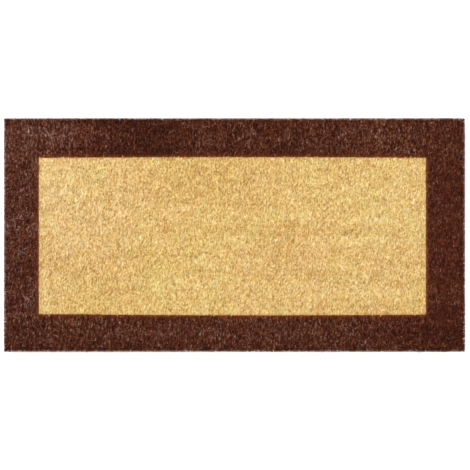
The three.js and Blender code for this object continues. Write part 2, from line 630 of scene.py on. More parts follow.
NATURAL_PILE = PileFinish(
    name="natural_pile",
    fibre_tones=(
        (0.0, (0.44, 0.23, 0.054)),
        (0.25, (0.635, 0.42, 0.130)),
        (0.5, (0.755, 0.58, 0.239)),
        (0.75, (0.815, 0.695, 0.383)),
        (1.0, (0.88, 0.82, 0.60)),
    ),
    painted_root_brightness=0.7,
    yarn_bands=0.34,
    row_bands=0.17,
    blotch_scale=5.0,
    blotch_strength=0.4,
    chalk_tint=(1.0, 1.0, 1.38),
    ruddy_strength=0.45,
    ruddy_colour=(0.59, 0.35, 0.125),
    bleed_colour=(0.54, 0.235, 0.075),
    end_contrast=0.5,
    painted_gap_shade=0.3,
    yellow_tint=(0.96, 1.085, 0.92),
    rosy_tint=(1.04, 0.915, 1.08),
    patches=(
        Patch(-0.36, 0.03, 0.26, 0.24, chalk=0.36),
        Patch(-0.37, 0.11, 0.13, 0.12, lift=0.055),
        Patch(-0.23, 0.12, 0.12, 0.06, lift=-0.03),
        Patch(-0.05, 0.115, 0.20, 0.09, lift=-0.085),
        Patch(0.33, 0.06, 0.15, 0.13, lift=0.07),
        Patch(0.095, -0.02, 0.08, 0.06, lift=-0.10),
        Patch(-0.27, -0.12, 0.12, 0.07, lift=-0.05),
    ),
)

BORDER_PILE = PileFinish(
    name="border_pile",
    fibre_tones=(
        (0.0, (0.021, 0.0026, 0.0003)),
        (0.3, (0.071, 0.0110, 0.0011)),
        (0.55, (0.145, 0.0335, 0.0063)),
        (0.85, (0.298, 0.136, 0.086)),
        (1.0, (0.48, 0.35, 0.28)),
    ),
    painted_root_brightness=0.45,
    yarn_bands=0.31,
    row_bands=0.15,
    blotch_scale=11.0,
    blotch_strength=0.7,
    chalk_tint=(1.08, 1.2, 1.5),
    ruddy_strength=1.2,
    ruddy_colour=(0.15, 0.028, 0.010),
    bleed_colour=(0.33, 0.085, 0.02),
    end_contrast=0.2,
    painted_gap_shade=0.2,
    yellow_tint=(0.98, 1.08, 0.84),
    rosy_tint=(1.02, 0.92, 1.16),
    patches=(
        Patch(-0.39, 0.195, 0.13, 0.09, lift=0.09, chalk=0.6),
        Patch(-0.185, 0.195, 0.12, 0.10, lift=-0.15),
        Patch(0.28, 0.195, 0.10, 0.08, lift=0.09),
        Patch(0.0, -0.196, 0.46, 0.09, lift=0.03),
        Patch(0.12, -0.196, 0.16, 0.08, lift=0.04),
        Patch(0.42, -0.20, 0.13, 0.12, lift=-0.11),
        Patch(-0.43, -0.20, 0.08, 0.09, lift=-0.045),
        Patch(-0.456, 0.0, 0.012, 0.40, lift=0.05, chalk=0.4),
        Patch(-0.42, 0.0, 0.08, 0.36, lift=0.035, chalk=0.75),
        Patch(0.42, 0.0, 0.09, 0.36, lift=-0.035, ruddy=0.2),
    ),
)

BASE_YARN = YarnFinish("base_coir", (0.16, 0.09, 0.035), (0.36, 0.225, 0.10), (0.55, 0.38, 0.19))
EDGE_YARN = YarnFinish("edge_coir", (0.025, 0.009, 0.004), (0.07, 0.027, 0.015), (0.15, 0.07, 0.045))
SEWING_TWINE = YarnFinish("sewing_twine", (0.12, 0.07, 0.03), (0.27, 0.175, 0.085), (0.42, 0.30, 0.16))


# ----------------------------------------------------------------------------
# Fibres
# ----------------------------------------------------------------------------


class StemKind(Enum):
    """How a coir fibre ends and how many bends it has: (steps along it, radius left at its tip)."""

    CUT = (1, 0.8)
    POINTED = (1, 0.0)
    TALL = (3, 0.6)
    LOOSE = (5, 0.35)


@dataclass(frozen=True)
class Stem:
    """One fibre at unit size: radius 1 at its root, and 1 long up Z."""

    points: np.ndarray
    triangles: np.ndarray

    @classmethod
    def model(cls, kind: StemKind) -> "Stem":
        """Model a fibre from a three-sided primitive, cut across at each bend.

        Args:
            kind: Its ending and its bends.

        Returns:
            The fibre's points and triangles.
        """
        steps, tip = kind.value
        deselect_all()
        bpy.ops.mesh.primitive_cone_add(vertices=3, radius1=1.0, radius2=tip, depth=1.0,
                                        location=(0, 0, 0.5))
        piece = bpy.context.object
        bpy.ops.object.mode_set(mode="EDIT")
        for step in range(1, steps):
            bpy.ops.mesh.select_all(action="SELECT")
            bpy.ops.mesh.bisect(plane_co=(0, 0, step / steps), plane_no=(0, 0, 1))
        bpy.ops.mesh.select_all(action="SELECT")
        bpy.ops.mesh.quads_convert_to_tris()
        bpy.ops.object.mode_set(mode="OBJECT")
        bpy.ops.object.transform_apply(location=True, rotation=True, scale=True)
        mesh = piece.data
        points = np.empty(len(mesh.vertices) * 3, np.float32)
        triangles = np.empty(len(mesh.polygons) * 3, np.int32)
        mesh.vertices.foreach_get("co", points)
        mesh.polygons.foreach_get("vertices", triangles)
        bpy.data.objects.remove(piece)
        bpy.data.meshes.remove(mesh)
        return cls(points.reshape(-1, 3), triangles.reshape(-1, 3))


@dataclass
class Batch:
    """Fibres to plant: where each starts, ends and bows to, its root's radius, its tone, turn and bleed."""

    roots: np.ndarray
    tips: np.ndarray
    bows: np.ndarray
    radii: np.ndarray
    tones: np.ndarray
    turns: np.ndarray
    bleeds: np.ndarray | None = None

    def pick(self, chosen: np.ndarray) -> "Batch":
        """Take some of the fibres.

        Args:
            chosen: True for each fibre that is taken.

        Returns:
            The fibres that were taken.
        """
        bleeds = None if self.bleeds is None else self.bleeds[chosen]
        return Batch(self.roots[chosen], self.tips[chosen], self.bows[chosen], self.radii[chosen],
                     self.tones[chosen], self.turns[chosen], bleeds)


@dataclass
class Planting:
    """Fibres gathered for one piece, with each point's tone and its reach from root to tip."""

    points: list[np.ndarray] = field(default_factory=list)
    triangles: list[np.ndarray] = field(default_factory=list)
    tones: list[np.ndarray] = field(default_factory=list)
    reaches: list[np.ndarray] = field(default_factory=list)
    bleeds: list[np.ndarray] = field(default_factory=list)
    count: int = 0

    def plant(self, stem: Stem, batch: Batch) -> None:
        """Plant a copy of a fibre at each root.

        Args:
            stem: The fibre that is copied.
            batch: The copies' places and looks.
        """
        roots, shape = batch.roots, stem.points
        along = batch.tips - roots
        unit = along / np.linalg.norm(along, axis=1, keepdims=True)
        upright = np.abs(unit[:, 2:]) > UPRIGHT
        reference = np.where(upright, np.array([[1.0, 0.0, 0.0]]), np.array([[0.0, 0.0, 1.0]]))
        side = np.cross(reference, unit)
        side /= np.linalg.norm(side, axis=1, keepdims=True)
        other = np.cross(unit, side)
        cosine, sine = np.cos(batch.turns)[:, None], np.sin(batch.turns)[:, None]
        across = (shape[None, :, 0] * cosine - shape[None, :, 1] * sine) * batch.radii[:, None]
        upward = (shape[None, :, 0] * sine + shape[None, :, 1] * cosine) * batch.radii[:, None]
        reach = np.repeat(shape[None, :, 2], len(roots), axis=0)
        placed = roots[:, None, :] + reach[..., None] * along[:, None, :]
        placed = placed + (4.0 * reach * (1.0 - reach))[..., None] * batch.bows[:, None, :]
        placed = placed + across[..., None] * side[:, None, :] + upward[..., None] * other[:, None, :]
        first = self.count + np.arange(len(roots))[:, None, None] * len(shape)
        bleeds = np.zeros(len(roots)) if batch.bleeds is None else batch.bleeds
        self.points.append(placed.reshape(-1, 3))
        self.triangles.append((stem.triangles[None] + first).reshape(-1, 3))
        self.tones.append(np.repeat(batch.tones, len(shape)))
        self.reaches.append(reach.reshape(-1))
        self.bleeds.append(np.repeat(bleeds, len(shape)))
        self.count += placed.shape[0] * placed.shape[1]

    def make(self, name: str) -> bpy.types.Object:
        """Turn the fibres into one object.

        Args:
            name: The object's name.

        Returns:
            The object, at the origin.
        """
        points = loom_drift(np.concatenate(self.points)).astype(np.float32)
        triangles = np.concatenate(self.triangles).astype(np.int32)
        piece = object_from_arrays(name, points, triangles)
        add_point_values(piece.data, "tone", np.concatenate(self.tones))
        add_point_values(piece.data, "reach", np.concatenate(self.reaches))
        add_point_values(piece.data, "bleed", np.concatenate(self.bleeds))
        return piece


def object_from_arrays(name: str, points: np.ndarray, triangles: np.ndarray) -> bpy.types.Object:
    """Make an object from points and triangles.

    Args:
        name: The object's name.
        points: One row for each point.
        triangles: One row of three point numbers for each triangle.

    Returns:
        The object, linked to the scene at the origin.
    """
    mesh = bpy.data.meshes.new(name)
    mesh.vertices.add(len(points))
    mesh.vertices.foreach_set("co", points.ravel())
    mesh.loops.add(triangles.size)
    mesh.loops.foreach_set("vertex_index", triangles.ravel())
    mesh.polygons.add(len(triangles))
    mesh.polygons.foreach_set("loop_start", np.arange(len(triangles), dtype=np.int32) * 3)
    mesh.update(calc_edges=True)
    piece = bpy.data.objects.new(name, mesh)
    bpy.context.scene.collection.objects.link(piece)
    return piece


def add_point_values(mesh: bpy.types.Mesh, name: str, values: np.ndarray) -> None:
    """Store one number for each point of a mesh.

    Args:
        mesh: The mesh.
        name: The attribute's name.
        values: The numbers.
    """
    attribute = mesh.attributes.new(name, "FLOAT", "POINT")
    attribute.data.foreach_set("value", values.astype(np.float32))


# ----------------------------------------------------------------------------
# Pile
# ----------------------------------------------------------------------------


@dataclass(frozen=True)
class Bulge:
    """How an edge of the field bows outwards: most at one place, and less towards the mat's ends."""

    crest: float
    fall: float
    middle: float


FIELD_LOW, FIELD_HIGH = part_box("pile_field")
BACK_BULGE = Bulge(0.2 * MM, 1.4 * MM, 0.0)
FRONT_BULGE = Bulge(1.2 * MM, 2.2 * MM, 60 * MM)


def loom_drift(points: np.ndarray) -> np.ndarray:
    """Move points of the pile across the mat by as much as the loom let the pattern drift.

    Args:
        points: One row for each point, at its straight place.

    Returns:
        The moved points.
    """
    moved = points.copy()
    half_length = (FIELD_HIGH.x - FIELD_LOW.x) / 2
    for sign, bulge, line, edge in ((1.0, BACK_BULGE, FIELD_HIGH.y, cad_bounds[1][1]),
                                    (-1.0, FRONT_BULGE, -FIELD_LOW.y, -cad_bounds[0][1])):
        away = points[:, 1] * sign
        share = np.minimum(away / line, (edge - away) / (edge - line)).clip(0.0, 1.0)
        along = ((points[:, 0] - bulge.middle) / half_length).clip(-1.0, 1.0)
        moved[:, 1] += sign * share * (bulge.crest - bulge.fall * along * along)
    return moved


def field_distance(x: np.ndarray, y: np.ndarray) -> np.ndarray:
    """How far places are from the line between the natural field and its border, on either side of it.

    Args:
        x: Places along the mat.
        y: Places across it.

    Returns:
        The distances.
    """
    beyond_x = np.maximum(FIELD_LOW.x - x, x - FIELD_HIGH.x)
    beyond_y = np.maximum(FIELD_LOW.y - y, y - FIELD_HIGH.y)
    outside = np.hypot(beyond_x.clip(0.0), beyond_y.clip(0.0))
    return outside - np.minimum(np.maximum(beyond_x, beyond_y), 0.0)


@dataclass(frozen=True)
class OpenSides:
    """Which sides of a pile zone are the mat's own edge."""

    left: bool = False
    right: bool = False
    front: bool = False
    back: bool = False


@dataclass(frozen=True)
class TuftHabit:
    """How the fibres of a tuft spread, lean and end. A pair of values is along the mat and across it."""

    crowding: float = 0.40
    root_spread: float = 0.75
    tip_spread: float = 1.15
    lean: tuple[float, float] = (0.3 * MM, 0.9 * MM)
    tip_stray: tuple[float, float] = (0.2 * MM, 0.8 * MM)
    reach_past_seam: float = 1.1 * MM
    reach_past_edge: float = 1.3 * MM
    fold: float = 0.8 * MM
    root_margin: float = 2.0 * MM
    root_sunk: float = 0.8 * MM
    crown: float = 0.9 * MM
    bow: float = 0.3 * MM
    thinnest: float = 0.75
    thickest: float = 1.25
    pointed_share: float = 0.68
    pointed_size: float = 1.35
    middle_tone: float = 0.46
    tone_limits: tuple[float, float] = (0.02, 0.9)
    short_by: float = 1.3 * MM
    short_tone: float = -0.16
    pale_tone: float = 0.25


@dataclass(frozen=True)
class SkirtHabit:
    """The tall fibres along the mat's own edges. Each line inwards adds the second value of a pair."""

    lines: int = 3
    spacing: tuple[float, float] = (0.75 * MM, 0.3 * MM)
    drift: tuple[float, float] = (0.7 * MM, 0.5 * MM)
    inset: tuple[float, float] = (4.2 * MM, 1.1 * MM)
    inset_scatter: float = 0.4 * MM
    lean: tuple[float, float] = (-1.5 * MM, 1.3 * MM)
    lean_scatter: float = 0.5 * MM
    root_sunk: float = 0.8 * MM
    root_scatter: float = 0.5 * MM
    shear: float = 0.3 * MM
    shear_scatter: float = 0.9 * MM
    reach_past_seam: float = -0.3 * MM
    reach_past_edge: float = 1.1 * MM
    root_margin: float = 2.6 * MM
    bow: float = 0.9 * MM
    bow_scatter: float = 0.7 * MM
    middle_tone: float = 0.54
    tone_scatter: float = 0.18
    tone_limits: tuple[float, float] = (0.02, 0.86)
    thinnest: float = 0.95
    thickest: float = 1.45


@dataclass(frozen=True)
class LooseHabit:
    """The loose fibres that lie curled on the pile. A pair of values is a low and a high limit."""

    length: float = 6.5 * MM
    length_scatter: float = 0.35
    length_limits: tuple[float, float] = (3.5 * MM, 18 * MM)
    heading_scatter: float = 0.75
    edge_margin: float = 8 * MM
    root_depth: tuple[float, float] = (1.0 * MM, 3.0 * MM)
    tip_height: tuple[float, float] = (-1.4 * MM, 0.7 * MM)
    curl: float = 0.28
    hump: tuple[float, float] = (0.2 * MM, 1.2 * MM)
    radius: tuple[float, float] = (0.2 * MM, 0.34 * MM)
    tone_scatter: float = 0.08
    tone_limits: tuple[float, float] = (0.5, 1.0)


@dataclass
class PileZone:
    """One colour zone of the cut pile: rows of tufts on a bed of packed fibre."""

    node: str
    finish: PileFinish
    seed: int
    open_sides: OpenSides
    strips: int = 1
    row_pitch: float = 8 * MM
    legs_in_row: int = 2
    row_fill: float = 0.7
    tuft_pitch: float = 5.6 * MM
    fibres_in_tuft: int = 11
    tuft_reach_x: float = 1.5 * MM
    tuft_reach_y: float = 3.2 * MM
    fibre_radius: float = 0.5 * MM
    ridge_depth: float = 2.4 * MM
    furrow_depth: float = 6.4 * MM
    furrow_from: float = 0.25
    furrow_to: float = 1.15
    shear_scatter: float = 0.45 * MM
    slip: float = 0.8
    stagger_x: float = 0.8 * MM
    stagger_y: float = 1.1 * MM
    wander: float = 2.2 * MM
    wander_waves: int = 14
    wander_seed: int = 100
    wander_reach_y: tuple[float, float] = (26 * MM, 80 * MM)
    wander_reach_x: tuple[float, float] = (45 * MM, 160 * MM)
    wander_fade_rows: float = 1.5
    tuft_tone_scatter: float = 0.03
    fibre_tone_scatter: float = 0.26
    tuft_drop_scatter: float = 0.8 * MM
    short_tufts: float = 0.07
    pale_tufts: float = 0.05
    open_ragged: float = 0.35 * MM
    seam_ragged: float = 1.3 * MM
    seam_crossing: float = 2.5 * MM
    loose_fibres_per_m2: float = 11000.0
    loose_tone: float = 0.86
    loose_inset: float = 2.5 * MM
    bleed_reach: float = 2.6 * MM
    bleed_share: tuple[float, float] = (0.4, 1.3)
    bed_columns_in_row: int = 5
    bed_line: float = 2.1 * MM
    bed_inset: float = 3.0 * MM
    bed_overlap: float = 0.4 * MM
    bed_roughness: float = 0.35 * MM
    bed_tone: float = 0.33
    bed_tone_scatter: float = 0.12
    palest_bed: float = 0.86
    # Painted shade on the bed: its reach is scaled down by this share, so the bed is painted darker than the
    # fibre tips.
    painted_bed_brightness: float = 0.9
    bed_shade_depth: float = 2.0 * MM
    tufts: TuftHabit = TuftHabit()
    skirt: SkirtHabit = SkirtHabit()
    loose: LooseHabit = LooseHabit()
    low: Vector = field(init=False)
    high: Vector = field(init=False)

    def __post_init__(self) -> None:
        """Take the zone's corners from the frame and its row pitch from its length."""
        self.low, self.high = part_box(self.node)
        self.rows = max(1, round((self.high.x - self.low.x) / self.row_pitch))
        self.row_pitch = (self.high.x - self.low.x) / self.rows
        self.random = np.random.default_rng(self.seed)

    @property
    def is_side_band(self) -> bool:
        """Whether the zone is a long edge's, between the two end bands."""
        sides = self.open_sides
        return (sides.front or sides.back) and not (sides.left or sides.right)

    def bed_depth(self, x: np.ndarray, y: np.ndarray) -> tuple[np.ndarray, np.ndarray]:
        """How far the bed lies under the sheared top, and which tuft is nearest.

        Args:
            x: Places along the mat.
            y: Places across it.

        Returns:
            The depth at each place, and the nearest tuft's number.
        """
        squeeze = self.tuft_reach_y / self.tuft_reach_x
        tree = KDTree(len(self.centres))
        for number, (centre_x, centre_y) in enumerate(self.centres):
            tree.insert((centre_x * squeeze, centre_y, 0.0), number)
        tree.balance()
        found = [tree.find((at_x * squeeze, at_y, 0.0))[1:] for at_x, at_y in zip(x, y)]
        nearest = np.array([number for number, _ in found])
        away = np.array([distance for _, distance in found]) / self.tuft_reach_y
        fall = smoothstep(self.furrow_from, self.furrow_to, away)
        return self.ridge_depth + (self.furrow_depth - self.ridge_depth) * fall, nearest

    def build_bed(self) -> bpy.types.Object:
        """Model the packed fibre that the tufts stand in, as one closed body.

        Returns:
            The bed.
        """
        sides = self.open_sides
        inset = [self.bed_inset if is_open else 0.0
                 for is_open in (sides.left, sides.right, sides.front, sides.back)]
        if self.is_side_band:
            inset[0] = inset[1] = -self.bed_overlap
        low_x, high_x = self.low.x + inset[0], self.high.x - inset[1]
        low_y, high_y = self.low.y + inset[2], self.high.y - inset[3]
        columns = max(2, round((high_x - low_x) / (self.row_pitch / self.bed_columns_in_row)))
        lines = max(2, round((high_y - low_y) / self.bed_line))
        deselect_all()
        bpy.ops.mesh.primitive_grid_add(x_subdivisions=columns, y_subdivisions=lines, size=1.0,
                                        location=((low_x + high_x) / 2, (low_y + high_y) / 2, self.low.z))
        piece = bpy.context.object
        piece.name = piece.data.name = f"{self.node}_bed"
        piece.scale = (high_x - low_x, high_y - low_y, 1.0)
        bpy.ops.object.transform_apply(location=True, rotation=True, scale=True)
        bpy.ops.object.mode_set(mode="EDIT")
        bpy.ops.mesh.select_all(action="SELECT")
        bpy.ops.mesh.region_to_loop()
        bpy.ops.mesh.mark_sharp()
        bpy.ops.mesh.extrude_edges_move(TRANSFORM_OT_translate={"value": (0, 0, 0.01 * MM)})
        bpy.ops.mesh.edge_face_add()
        bpy.ops.object.mode_set(mode="OBJECT")
        mesh = piece.data
        points = np.empty(len(mesh.vertices) * 3, np.float32)
        mesh.vertices.foreach_get("co", points)
        points = points.reshape(-1, 3)
        grid = (columns + 1) * (lines + 1)
        top = np.zeros(len(points), bool)
        top[:grid] = True
        depth, nearest = self.bed_depth(points[:, 0], points[:, 1])
        depth += self.random.normal(0.0, self.bed_roughness, len(points)) + self.tuft_drop[nearest]
        points[top, 2] = (self.high.z - depth)[top]
        points[~top, 2] = self.low.z
        mesh.vertices.foreach_set("co", loom_drift(points).astype(np.float32).ravel())
        select_only(piece)
        bpy.ops.object.mode_set(mode="EDIT")
        bpy.ops.mesh.select_all(action="SELECT")
        bpy.ops.mesh.normals_make_consistent(inside=False)
        bpy.ops.object.mode_set(mode="OBJECT")
        bpy.ops.object.shade_smooth()
        tone = self.random.normal(self.bed_tone, self.bed_tone_scatter, len(points))
        tone = np.clip(tone + self.tuft_tone[nearest], 0.0, self.palest_bed)
        # Painted shade: the deeper a point of the bed lies under the top of the pile, the lower its reach
        # and the darker the root shade paints it, so furrows come out darker than ridges; the underside gets
        # no reach and is painted darkest.
        deepest = self.furrow_depth + self.bed_shade_depth
        reach = np.where(top, np.clip(1.0 - depth / deepest, 0.0, 1.0) * self.painted_bed_brightness, 0.0)
        add_point_values(mesh, "tone", tone)
        add_point_values(mesh, "reach", reach)
        add_point_values(mesh, "bleed", self.bleed(points[:, 0], points[:, 1]))
        return piece

    def bleed(self, x: np.ndarray, y: np.ndarray) -> np.ndarray:
        """How much of the next colour's dye has crept in, from 0 to 1.

        Args:
            x: Places along the mat.
            y: Places across it.

        Returns:
            The share at each place.
        """
        share = self.random.uniform(*self.bleed_share, len(x))
        return (np.exp(-field_distance(x, y) / self.bleed_reach) * share).clip(0.0, 1.0)

    def lay_out(self) -> None:
        """Settle where each cut leg of each tuft stands, and its lean, tone and height."""
        rng = self.random
        count = max(1, round((self.high.y - self.low.y) / self.tuft_pitch))
        pitch = (self.high.y - self.low.y) / count
        in_row = self.legs_in_row
        legs, places = np.meshgrid(np.arange(in_row * self.rows), np.arange(count), indexing="ij")
        slip = rng.uniform(-0.5, 0.5, in_row * self.rows)[:, None]
        row_middle = (legs // in_row + 0.5) * self.row_pitch
        leg_offset = ((legs % in_row + 0.5) / in_row - 0.5) * self.row_fill * self.row_pitch
        x = self.low.x + row_middle + leg_offset + rng.normal(0.0, self.stagger_x, legs.shape)
        y = self.low.y + (places + 0.5 + slip * self.slip) * pitch
        y += rng.normal(0.0, self.stagger_y, legs.shape)
        self.centres = np.stack([(x + self.row_wander(x, y)).ravel(), y.ravel()], axis=1)
        total = len(self.centres)
        self.tuft_lean = rng.normal(0.0, 1.0, (total, 2)) * self.tufts.lean
        self.tuft_tone = rng.normal(0.0, self.tuft_tone_scatter, total)
        self.tuft_drop = np.abs(rng.normal(0.0, self.tuft_drop_scatter, total))
        short = rng.random(total) < self.short_tufts
        self.tuft_tone[short] += self.tufts.short_tone
        self.tuft_drop[short] += self.tufts.short_by
        self.tuft_tone[~short & (rng.random(total) < self.pale_tufts)] += self.tufts.pale_tone

    def row_wander(self, x: np.ndarray, y: np.ndarray) -> np.ndarray:
        """How far the rows stray along the mat from their straight lines, fading out at the zone's ends.

        Args:
            x: Places along the mat.
            y: Places across it.

        Returns:
            The shift at each place.
        """
        rng = np.random.default_rng(self.seed + self.wander_seed)
        stray = np.zeros(x.shape)
        for _ in range(self.wander_waves):
            across = 2.0 * np.pi / rng.uniform(*self.wander_reach_y)
            along = 2.0 * np.pi / rng.uniform(*self.wander_reach_x) * rng.choice((-1.0, 1.0))
            stray += np.sin(along * x + across * y + rng.uniform(0.0, 2.0 * np.pi))
        inside = np.minimum(x - self.low.x, self.high.x - x) / (self.wander_fade_rows * self.row_pitch)
        return stray * self.wander * math.sqrt(2.0 / self.wander_waves) * inside.clip(0.0, 1.0)

    def limits(self, y: np.ndarray, spare_inside: float, spare_open: float, ragged: np.ndarray
               ) -> tuple[np.ndarray, np.ndarray]:
        """The corners that fibres keep within. They may cross a seam freely where both its sides are dyed.

        Args:
            y: The fibres' places across the mat.
            spare_inside: How far they may cross into the other colour.
            spare_open: How far they may stand out of the mat's own edge.
            ragged: How uneven each fibre makes the zone's edges along X and Y, as a normal deviate.

        Returns:
            The low and the high corner for each fibre.
        """
        sides = self.open_sides
        beside_field = (y > FIELD_LOW.y) & (y < FIELD_HIGH.y) & (not self.is_side_band)
        spare_seam = np.where(beside_field, spare_inside, self.seam_crossing)
        corners = []
        for corner, way, is_open in ((self.low, -1.0, (sides.left, sides.front)),
                                     (self.high, 1.0, (sides.right, sides.back))):
            columns = []
            for axis, seam in ((0, spare_seam), (1, spare_inside)):
                spare = spare_open if is_open[axis] else seam
                scatter = self.open_ragged if is_open[axis] else self.seam_ragged
                columns.append(corner[axis] + way * (spare - ragged[:, axis] * scatter))
            corners.append(np.column_stack(columns))
        return corners[0], corners[1]

    def build_tufts(self, stems: dict[StemKind, Stem]) -> list[Planting]:
        """Plant every tuft's fibres, sorted into strips along the mat.

        Args:
            stems: The modelled fibres.

        Returns:
            One planting for each strip.
        """
        rng = self.random
        habit = self.tufts
        centres = self.centres
        owner = np.repeat(np.arange(len(centres)), self.fibres_in_tuft)
        count = len(owner)
        unit = np.clip(rng.normal(0.0, habit.crowding, (count, 2)), -1.0, 1.0)
        spread = unit * (self.tuft_reach_x, self.tuft_reach_y)
        root_xy = centres[owner] + spread * habit.root_spread
        tip_xy = centres[owner] + spread * habit.tip_spread + self.tuft_lean[owner]
        tip_xy += rng.normal(0.0, 1.0, spread.shape) * habit.tip_stray
        ragged = rng.normal(0.0, 1.0, (len(centres), 2))[owner]
        low, high = self.limits(root_xy[:, 1], habit.reach_past_seam, habit.reach_past_edge, ragged)
        fold = rng.uniform(0.0, habit.fold, tip_xy.shape)
        tip_xy = np.clip(tip_xy, low + fold, high - fold)
        root_xy = np.clip(root_xy, low + habit.root_margin, high - habit.root_margin)
        away = np.abs(unit).max(axis=1)
        tip_z = self.high.z - np.abs(rng.normal(0.0, self.shear_scatter, count))
        tip_z -= self.tuft_drop[owner] + habit.crown * away * away
        root_z = self.high.z - self.furrow_depth - self.tuft_drop[owner] - habit.root_sunk
        tones = rng.normal(habit.middle_tone, self.fibre_tone_scatter, count) + self.tuft_tone[owner]
        batch = Batch(
            roots=np.column_stack([root_xy, root_z]),
            tips=np.column_stack([tip_xy, tip_z]),
            tones=tones.clip(*habit.tone_limits),
            radii=self.fibre_radius * rng.uniform(habit.thinnest, habit.thickest, count),
            turns=rng.uniform(0.0, 2.0 * np.pi, count),
            bows=np.column_stack([rng.normal(0.0, habit.bow, (count, 2)), np.zeros(count)]),
        )
        pointed = rng.random(count) < habit.pointed_share
        batch.radii[pointed] *= habit.pointed_size
        batch.bleeds = self.bleed(centres[owner, 0], centres[owner, 1])
        strip = self.strip_of(centres[:, 0])[owner]
        plantings = []
        for number in range(self.strips):
            planting = Planting()
            for kind, chosen in ((StemKind.POINTED, pointed), (StemKind.CUT, ~pointed)):
                planting.plant(stems[kind], batch.pick(chosen & (strip == number)))
            plantings.append(planting)
        return plantings

    def strip_of(self, x: np.ndarray) -> np.ndarray:
        """The strip that each place belongs to."""
        share = (x - self.low.x) / (self.high.x - self.low.x)
        return np.clip((share * self.strips).astype(int), 0, self.strips - 1)

    def build_skirt(self, stems: dict[StemKind, Stem], plantings: list[Planting]) -> None:
        """Plant the tall fibres that show their whole length along the mat's own edges.

        Args:
            stems: The modelled fibres.
            plantings: The strips that they are added to.
        """
        rng = self.random
        habit = self.skirt
        sides = self.open_sides
        low, high = self.low, self.high
        edges = (
            (sides.left, (low.x, low.y), (low.x, high.y), (-1.0, 0.0)),
            (sides.right, (high.x, low.y), (high.x, high.y), (1.0, 0.0)),
            (sides.front, (low.x, low.y), (high.x, low.y), (0.0, -1.0)),
            (sides.back, (low.x, high.y), (high.x, high.y), (0.0, 1.0)),
        )
        for start, end, outward in (edge[1:] for edge in edges if edge[0]):
            start, end, outward = np.array(start), np.array(end), np.array(outward)
            length = float(np.linalg.norm(end - start))
            for line in range(habit.lines):
                spacing, drift, inset, lean = (first + step * line for first, step in (
                    habit.spacing, habit.drift, habit.inset, habit.lean))
                count = round(length / spacing)
                share = (np.arange(count) + rng.uniform(0.0, 1.0, count)) / count
                edge = start + share[:, None] * (end - start)
                drifts = (end - start) / length * rng.normal(0.0, drift, count)[:, None]
                insets = inset + rng.normal(0.0, habit.inset_scatter, count)
                leans = lean + np.abs(rng.normal(0.0, habit.lean_scatter, count))
                root_xy = edge - outward * insets[:, None]
                tip_xy = edge - outward * leans[:, None] + drifts
                root_z = self.low.z - habit.root_sunk + rng.normal(0.0, habit.root_scatter, count)
                tip_z = self.high.z - np.abs(rng.normal(0.0, habit.shear_scatter, count)) - habit.shear
                lowest, highest = self.limits(root_xy[:, 1], habit.reach_past_seam, habit.reach_past_edge,
                                              np.zeros((count, 2)))
                root_xy = np.clip(root_xy, lowest + habit.root_margin, highest - habit.root_margin)
                bows = outward * rng.normal(habit.bow, habit.bow_scatter, count)[:, None]
                batch = Batch(
                    roots=np.column_stack([root_xy, root_z]),
                    tips=np.column_stack([np.clip(tip_xy, lowest, highest), tip_z]),
                    bows=np.column_stack([bows, np.zeros(count)]),
                    tones=rng.normal(habit.middle_tone, habit.tone_scatter, count).clip(*habit.tone_limits),
                    radii=self.fibre_radius * rng.uniform(habit.thinnest, habit.thickest, count),
                    turns=rng.uniform(0.0, 2.0 * np.pi, count),
                )
                self.share_out(stems[StemKind.TALL], batch, edge[:, 0], plantings)

    def build_loose(self, stems: dict[StemKind, Stem], plantings: list[Planting]) -> None:
        """Scatter the loose, paler fibres that lie curled on the pile.

        Args:
            stems: The modelled fibres.
            plantings: The strips that they are added to.
        """
        rng = self.random
        habit = self.loose
        sides = self.open_sides
        size = self.high - self.low
        count = round(self.loose_fibres_per_m2 * size.x * size.y)
        length = rng.lognormal(math.log(habit.length), habit.length_scatter, count)
        length = length.clip(*habit.length_limits)
        heading = np.pi / 2 + rng.normal(0.0, habit.heading_scatter, count)
        way = np.stack([np.cos(heading), np.sin(heading)], axis=1)
        left, right = (habit.edge_margin if is_open else self.loose_inset
                       for is_open in (sides.left, sides.right))
        middle = np.stack([
            rng.uniform(self.low.x + left, self.high.x - right, count),
            rng.uniform(self.low.y + habit.edge_margin, self.high.y - habit.edge_margin, count),
        ], axis=1)
        root_z = self.high.z - rng.uniform(*habit.root_depth, count)
        tip_z = self.high.z + rng.uniform(*habit.tip_height, count)
        half = way * length[:, None] / 2
        curl = (rng.normal(0.0, habit.curl, count) * length)[:, None]
        aside = np.stack([-way[:, 1], way[:, 0]], axis=1) * curl
        batch = Batch(
            roots=np.column_stack([middle - half, root_z]),
            tips=np.column_stack([middle + half, tip_z]),
            bows=np.column_stack([aside, rng.uniform(*habit.hump, count)]),
            radii=rng.uniform(*habit.radius, count),
            tones=rng.normal(self.loose_tone, habit.tone_scatter, count).clip(*habit.tone_limits),
            turns=rng.uniform(0.0, 2.0 * np.pi, count),
        )
        self.share_out(stems[StemKind.LOOSE], batch, middle[:, 0], plantings)

    def share_out(self, stem: Stem, batch: Batch, x: np.ndarray, plantings: list[Planting]) -> None:
        """Plant fibres in the strips that they stand in.

        Args:
            stem: The fibre that is copied.
            batch: The fibres.
            x: Their places along the mat.
            plantings: The strips that they are added to.
        """
        strip = self.strip_of(x)
        for number, planting in enumerate(plantings):
            planting.plant(stem, batch.pick(strip == number))

    def build(self, stems: dict[StemKind, Stem], material: bpy.types.Material) -> None:
        """Make the zone's bed and tufts and dress them.

        Args:
            stems: The modelled fibres.
            material: The zone's material.
        """
        self.lay_out()
        finish_piece(self.build_bed(), material, self.node)
        plantings = self.build_tufts(stems)
        self.build_skirt(stems, plantings)
        self.build_loose(stems, plantings)
        for number, planting in enumerate(plantings, start=1):
            tufts = planting.make(f"{self.node}_tufts_{number}")
            finish_piece(tufts, material, self.node)


